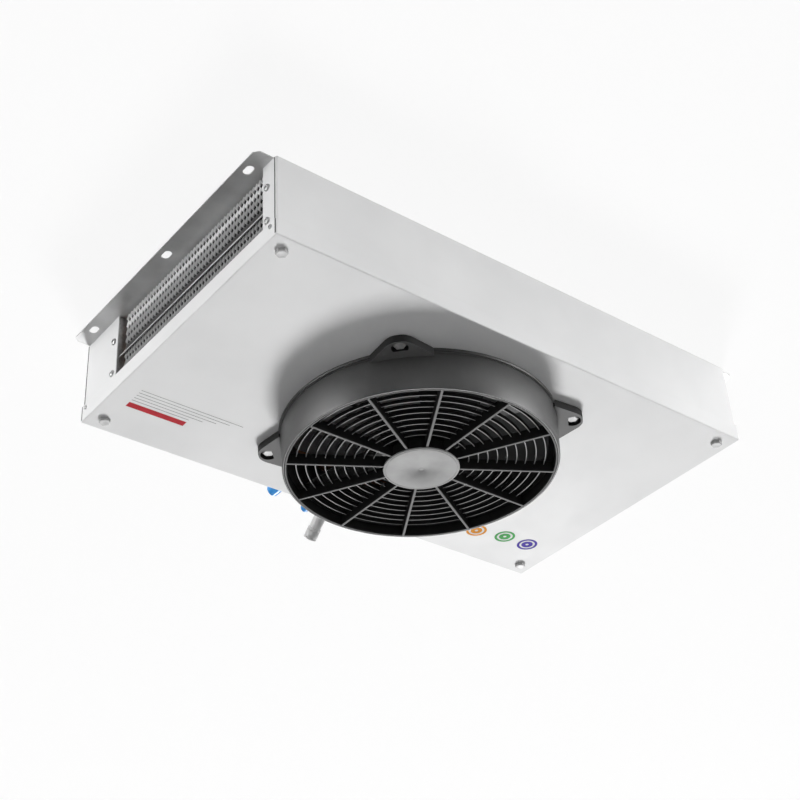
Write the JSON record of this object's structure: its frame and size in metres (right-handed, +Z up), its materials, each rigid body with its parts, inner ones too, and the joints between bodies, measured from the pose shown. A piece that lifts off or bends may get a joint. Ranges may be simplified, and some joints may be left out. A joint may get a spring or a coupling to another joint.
{
  "type": "ceiling-hung unit cooler",
  "caption": "Flat cold-room evaporator hung from a ceiling: a fan underneath draws air in and blows it out through a finned coil at each end.",
  "frame": {"origin": "middle of the top sheet's upper face, which lies on the ceiling", "axes": "+Z up into the ceiling, +X along the long way of the case to the right-hand coil, +Y to the side with the pipe stubs and the drain"},
  "size_m": [0.785, 0.5138, 0.176],
  "materials": {
    "painted_case": "satin",
    "plated_bolt": "bright zinc",
    "galvanised_steel": "galvanised",
    "aluminium_fin": "bright rolled",
    "copper": "bright copper",
    "zinc_wire": "bright",
    "black_rubber": "matte",
    "plated_steel": "bright",
    "anthracite_plastic": "fine grain",
    "grey_plastic": "fine grain",
    "cast_aluminium": "as cast",
    "core_steel": "laminated",
    "winding_copper": "enamelled",
    "bearing_steel": "ground",
    "white_plastic": "satin",
    "black_plastic": "satin",
    "fan_black_plastic": "satin",
    "rotor_steel": "black dip",
    "blue_plastic": "soft gloss"
  },
  "bodies": {
    "case": {"top_panel": "painted_case", "near_side_panel": "painted_case", "far_side_panel": "painted_case", "drain_pan": "painted_case", "pan_corner_bolts": "plated_bolt", "corner_brackets": "galvanised_steel", "left_fin_pack": "aluminium_fin", "right_fin_pack": "aluminium_fin", "left_near_tube_sheet": "galvanised_steel", "left_far_tube_sheet": "galvanised_steel", "right_near_tube_sheet": "galvanised_steel", "right_far_tube_sheet": "galvanised_steel", "left_coil_tubes": "copper", "right_coil_tubes": "copper", "left_return_bends": "copper", "right_return_bends": "copper", "left_face_rod": "zinc_wire", "right_face_rod": "zinc_wire", "suction_manifold": "copper", "liquid_manifold": "copper", "suction_grommet": "black_rubber", "liquid_grommet": "black_rubber", "drain_outlet": "plated_steel", "drain_gasket": "black_rubber", "drain_nut": "plated_steel", "fan_shroud": "anthracite_plastic", "guard_grille": "anthracite_plastic", "hub_cap": "grey_plastic", "ear_bolts": "plated_bolt", "ear_nuts": "plated_bolt", "motor_base": "cast_aluminium", "stator_core": "core_steel", "stator_windings": "winding_copper", "lower_bearing": "bearing_steel", "upper_bearing": "bearing_steel", "motor_screws": "plated_bolt", "terminal_box": "white_plastic", "terminal_box_lid": "white_plastic", "terminal_block": "white_plastic", "cable_gland": "black_plastic", "gland_nut": "black_plastic", "case_screws": "plated_bolt", "lip_screws": "plated_bolt"},
    "fan_rotor": {"impeller": "fan_black_plastic", "rotor_can": "rotor_steel", "motor_shaft": "bearing_steel"},
    "suction_cap_body": {"suction_cap": "blue_plastic"},
    "liquid_cap_body": {"liquid_cap": "blue_plastic"}
  },
  "joints": [
    {"name": "fan_spin", "type": "hinge", "parent": "case", "child": "fan_rotor", "pos_m": [0, 0, -0.128], "axis": [0, 0, 1], "continuous": true},
    {"name": "suction_cap_pull", "type": "slide", "parent": "case", "child": "suction_cap_body", "axis": [0, 1, 0], "range_m": [0, 0.03]},
    {"name": "liquid_cap_pull", "type": "slide", "parent": "case", "child": "liquid_cap_body", "axis": [0, 1, 0], "range_m": [0, 0.03]}
  ]
}
